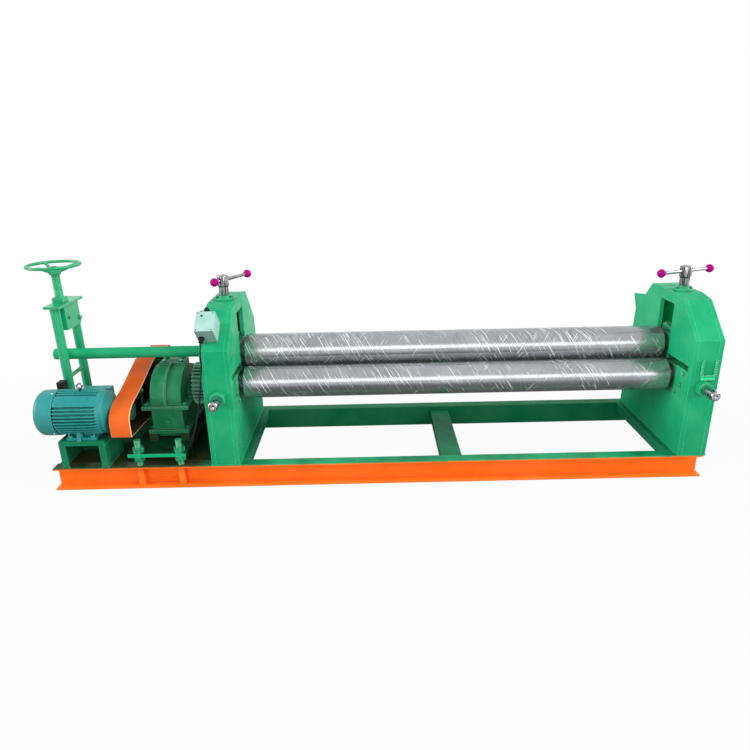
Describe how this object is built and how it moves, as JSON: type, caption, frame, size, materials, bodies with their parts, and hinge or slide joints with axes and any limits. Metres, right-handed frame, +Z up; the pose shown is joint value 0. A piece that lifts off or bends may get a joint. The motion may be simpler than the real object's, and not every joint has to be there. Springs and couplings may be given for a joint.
{
  "type": "plate rolling machine",
  "caption": "Three-roll plate bending machine: two driven lower rolls, screw-adjusted top roll, belt and gear drive, tail hold-down screw with handwheel.",
  "frame": {"origin": "on the floor, in the middle of the front beam's underside, at the middle of the roll length", "axes": "+X along the rolls away from the drive, +Y from the front to the back, +Z up"},
  "size_m": [3.253, 0.826, 1.024],
  "materials": {
    "green_paint": "gloss machine enamel",
    "orange_paint": "gloss enamel",
    "teal_paint": "satin enamel",
    "cast_green": "painted cast iron",
    "roll_steel": "ground steel, oiled",
    "bright_steel": "turned steel",
    "gear_steel": "cut gear steel, greasy",
    "zinc": "zinc-plated fasteners",
    "knob_plastic": "polished phenolic",
    "box_paint": "satin powder coat",
    "black_plastic": "matt",
    "belt_rubber": "matt"
  },
  "bodies": {
    "machine_frame": {"front_beam": "orange_paint", "rear_beam": "green_paint", "cross_members": "green_paint", "deck_plate": "green_paint", "web_stiffeners": "orange_paint", "left_side_plates": "green_paint", "right_side_plates": "green_paint", "housing_bands": "green_paint", "rear_bearing_blocks": "cast_green", "keeper_plates": "green_paint", "hex_bolts": "zinc", "screw_nuts": "green_paint", "reducer_lower_case": "cast_green", "reducer_upper_case": "cast_green", "drive_brackets": "green_paint", "support_plate": "green_paint", "support_studs": "zinc", "support_nuts": "zinc", "motor_stand": "green_paint", "motor_body": "teal_paint", "motor_end_shield": "teal_paint", "motor_fan_cover": "teal_paint", "motor_terminal_box": "teal_paint", "eye_bolts": "zinc", "belt_guard": "orange_paint", "v_belts": "belt_rubber", "tail_posts": "green_paint", "tail_top_plate": "green_paint", "tail_screw_nut": "cast_green", "tail_cross_bars": "green_paint", "control_box": "box_paint", "control_box_cover": "box_paint", "cable_glands": "black_plastic", "control_cable": "black_plastic"},
    "top_roll_carriage": {"top_bearing_blocks": "cast_green", "thrust_plates": "cast_green"},
    "top_roll_body": {"top_roll": "roll_steel", "top_roll_tail": "green_paint"},
    "left_press_screw_body": {"left_press_screw": "bright_steel"},
    "right_press_screw_body": {"right_press_screw": "bright_steel"},
    "left_bar_body": {"left_t_bar": "bright_steel", "left_ball_knobs": "knob_plastic"},
    "right_bar_body": {"right_t_bar": "bright_steel", "right_ball_knobs": "knob_plastic"},
    "front_roll_carriage": {"front_bearing_blocks": "cast_green"},
    "front_roll_body": {"front_lower_roll": "roll_steel", "front_roll_gear": "gear_steel"},
    "rear_roll_body": {"rear_lower_roll": "roll_steel", "rear_roll_gear": "gear_steel"},
    "left_front_screw_body": {"left_front_screw": "bright_steel"},
    "right_front_screw_body": {"right_front_screw": "bright_steel"},
    "output_shaft_body": {"output_shaft": "gear_steel"},
    "intermediate_shaft_body": {"intermediate_shaft": "gear_steel"},
    "input_shaft_body": {"input_shaft": "gear_steel", "driven_pulley": "gear_steel"},
    "motor_rotor_body": {"motor_rotor": "gear_steel", "motor_pulley": "gear_steel"},
    "tail_foot_body": {"tail_foot": "bright_steel"},
    "tail_screw_body": {"tail_screw": "green_paint", "handwheel": "green_paint"}
  },
  "joints": [
    {"name": "motor_spin", "type": "hinge", "parent": "machine_frame", "child": "motor_rotor_body", "pos_m": [-1.75, 0.067, 0.361], "axis": [1, 0, 0], "continuous": true},
    {"name": "input_shaft_spin", "type": "hinge", "parent": "machine_frame", "child": "input_shaft_body", "pos_m": [-1.39, 0.534, 0.35679], "axis": [1, 0, 0], "continuous": true},
    {"name": "intermediate_shaft_spin", "type": "hinge", "parent": "machine_frame", "child": "intermediate_shaft_body", "pos_m": [-1.39, 0.446, 0.35679], "axis": [1, 0, 0], "continuous": true},
    {"name": "output_shaft_spin", "type": "hinge", "parent": "machine_frame", "child": "output_shaft_body", "pos_m": [-1.39, 0.282, 0.35679], "axis": [1, 0, 0], "continuous": true},
    {"name": "rear_roll_spin", "type": "hinge", "parent": "machine_frame", "child": "rear_roll_body", "pos_m": [0, 0.386, 0.452], "axis": [1, 0, 0], "continuous": true},
    {"name": "front_roll_adjust", "type": "slide", "parent": "machine_frame", "child": "front_roll_carriage", "axis": [0, 1, 0], "range_m": [-0.003, 0]},
    {"name": "front_roll_spin", "type": "hinge", "parent": "front_roll_carriage", "child": "front_roll_body", "pos_m": [0, 0.178, 0.452], "axis": [1, 0, 0], "continuous": true},
    {"name": "left_front_screw_turn", "type": "hinge", "parent": "front_roll_carriage", "child": "left_front_screw_body", "pos_m": [-1.095, -0.029, 0.452], "axis": [0, 1, 0], "range_deg": [-135, 0]},
    {"name": "right_front_screw_turn", "type": "hinge", "parent": "front_roll_carriage", "child": "right_front_screw_body", "pos_m": [1.095, -0.029, 0.452], "axis": [0, 1, 0], "range_deg": [-135, 0]},
    {"name": "top_roll_lift", "type": "slide", "parent": "machine_frame", "child": "top_roll_carriage", "axis": [0, 0, 1], "range_m": [-0.007, 0.08]},
    {"name": "top_roll_spin", "type": "hinge", "parent": "top_roll_carriage", "child": "top_roll_body", "pos_m": [0, 0.282, 0.58], "axis": [1, 0, 0], "continuous": true},
    {"name": "left_press_screw_turn", "type": "hinge", "parent": "top_roll_carriage", "child": "left_press_screw_body", "pos_m": [-1.095, 0.282, 0.8], "axis": [0, 0, 1], "range_deg": [-315, 3600]},
    {"name": "right_press_screw_turn", "type": "hinge", "parent": "top_roll_carriage", "child": "right_press_screw_body", "pos_m": [1.095, 0.282, 0.8], "axis": [0, 0, 1], "range_deg": [-315, 3600]},
    {"name": "left_bar_slide", "type": "slide", "parent": "left_press_screw_body", "child": "left_bar_body", "axis": [0.4695, 0.8829, 0], "range_m": [-0.132, 0.008]},
    {"name": "right_bar_slide", "type": "slide", "parent": "right_press_screw_body", "child": "right_bar_body", "axis": [0.9336, 0.3584, 0], "range_m": [-0.1, 0.1]},
    {"name": "tail_foot_lower", "type": "slide", "parent": "machine_frame", "child": "tail_foot_body", "axis": [0, 0, 1], "range_m": [-0.09, 0]},
    {"name": "handwheel_turn", "type": "hinge", "parent": "tail_foot_body", "child": "tail_screw_body", "pos_m": [-1.876, 0.282, 0.9], "axis": [0, 0, 1], "range_deg": [-4629, 0]}
  ],
  "couplings": [
    {"joint": "input_shaft_spin", "follows": "motor_spin", "ratio": 0.44898},
    {"joint": "intermediate_shaft_spin", "follows": "motor_spin", "ratio": -0.099773},
    {"joint": "output_shaft_spin", "follows": "motor_spin", "ratio": 0.020542},
    {"joint": "rear_roll_spin", "follows": "motor_spin", "ratio": -0.0096288},
    {"joint": "front_roll_spin", "follows": "motor_spin", "ratio": -0.0096288},
    {"joint": "left_front_screw_turn", "follows": "front_roll_adjust", "rad_per_m": 785.4},
    {"joint": "right_front_screw_turn", "follows": "front_roll_adjust", "rad_per_m": 785.4},
    {"joint": "left_press_screw_turn", "follows": "top_roll_lift", "rad_per_m": 785.4},
    {"joint": "right_press_screw_turn", "follows": "top_roll_lift", "rad_per_m": 785.4},
    {"joint": "handwheel_turn", "follows": "tail_foot_lower", "rad_per_m": 897.6}
  ]
}
